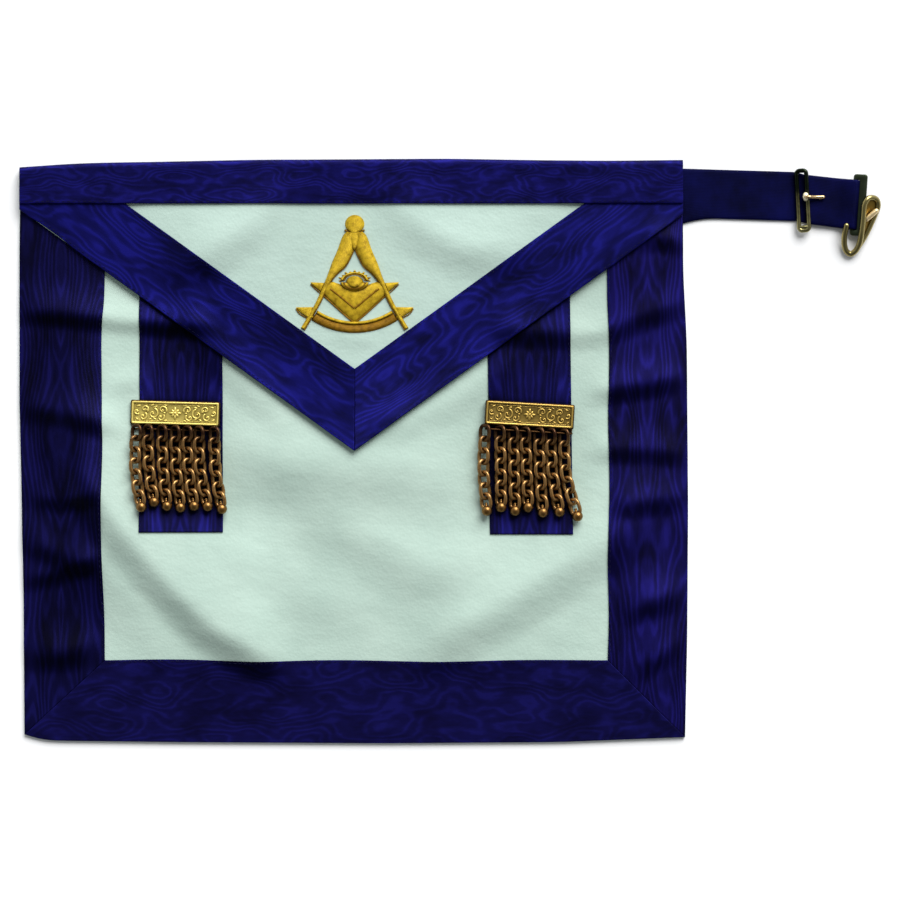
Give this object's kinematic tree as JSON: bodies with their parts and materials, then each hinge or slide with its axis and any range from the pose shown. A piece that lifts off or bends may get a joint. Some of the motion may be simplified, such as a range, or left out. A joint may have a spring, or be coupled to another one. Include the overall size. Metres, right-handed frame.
{
  "type": "masonic apron",
  "caption": "Leather lodge apron laid flat, with ribbon borders, a pointed flap with raised embroidery, chain tassels on gilt plates and a belt end with a snake hook.",
  "frame": {"origin": "centre of the apron's panel on its back, at the surface that it lies on", "axes": "+Z out of the apron's front, +Y towards its top band, +X towards the belt end"},
  "size_m": [0.5246, 0.3562, 0.0094],
  "materials": {
    "leather": "soft white grain leather",
    "ribbon": "dark blue moire ribbon",
    "gold_thread": "raised gold wire embroidery",
    "gilt": "gilded and polished, dark in the recesses",
    "webbing": "ribbed dark blue webbing",
    "belt_metal": "antique gold plating"
  },
  "bodies": {
    "root": {"body_panel": "leather", "border_left": "ribbon", "border_right": "ribbon", "border_bottom": "ribbon", "tassel_ribbon_left": "ribbon", "tassel_ribbon_right": "ribbon", "flap_panel": "leather", "flap_ribbon_left": "ribbon", "flap_ribbon_right": "ribbon", "top_band": "ribbon", "emblem": "gold_thread", "tassel_plate_left": "gilt", "tassel_plate_right": "gilt", "chain_left_1": "gilt", "chain_left_2": "gilt", "chain_left_3": "gilt", "chain_left_4": "gilt", "chain_left_5": "gilt", "chain_left_6": "gilt", "chain_left_7": "gilt", "chain_right_1": "gilt", "chain_right_2": "gilt", "chain_right_3": "gilt", "chain_right_4": "gilt", "chain_right_5": "gilt", "chain_right_6": "gilt", "chain_right_7": "gilt", "ball_left_1": "gilt", "ball_left_2": "gilt", "ball_left_3": "gilt", "ball_left_4": "gilt", "ball_left_5": "gilt", "ball_left_6": "gilt", "ball_left_7": "gilt", "ball_right_1": "gilt", "ball_right_2": "gilt", "ball_right_3": "gilt", "ball_right_4": "gilt", "ball_right_5": "gilt", "ball_right_6": "gilt", "ball_right_7": "gilt", "belt_strap": "webbing", "belt_slider": "belt_metal", "slider_tongue": "belt_metal", "end_ring": "belt_metal", "snake_hook": "belt_metal"}
  },
  "joints": []
}
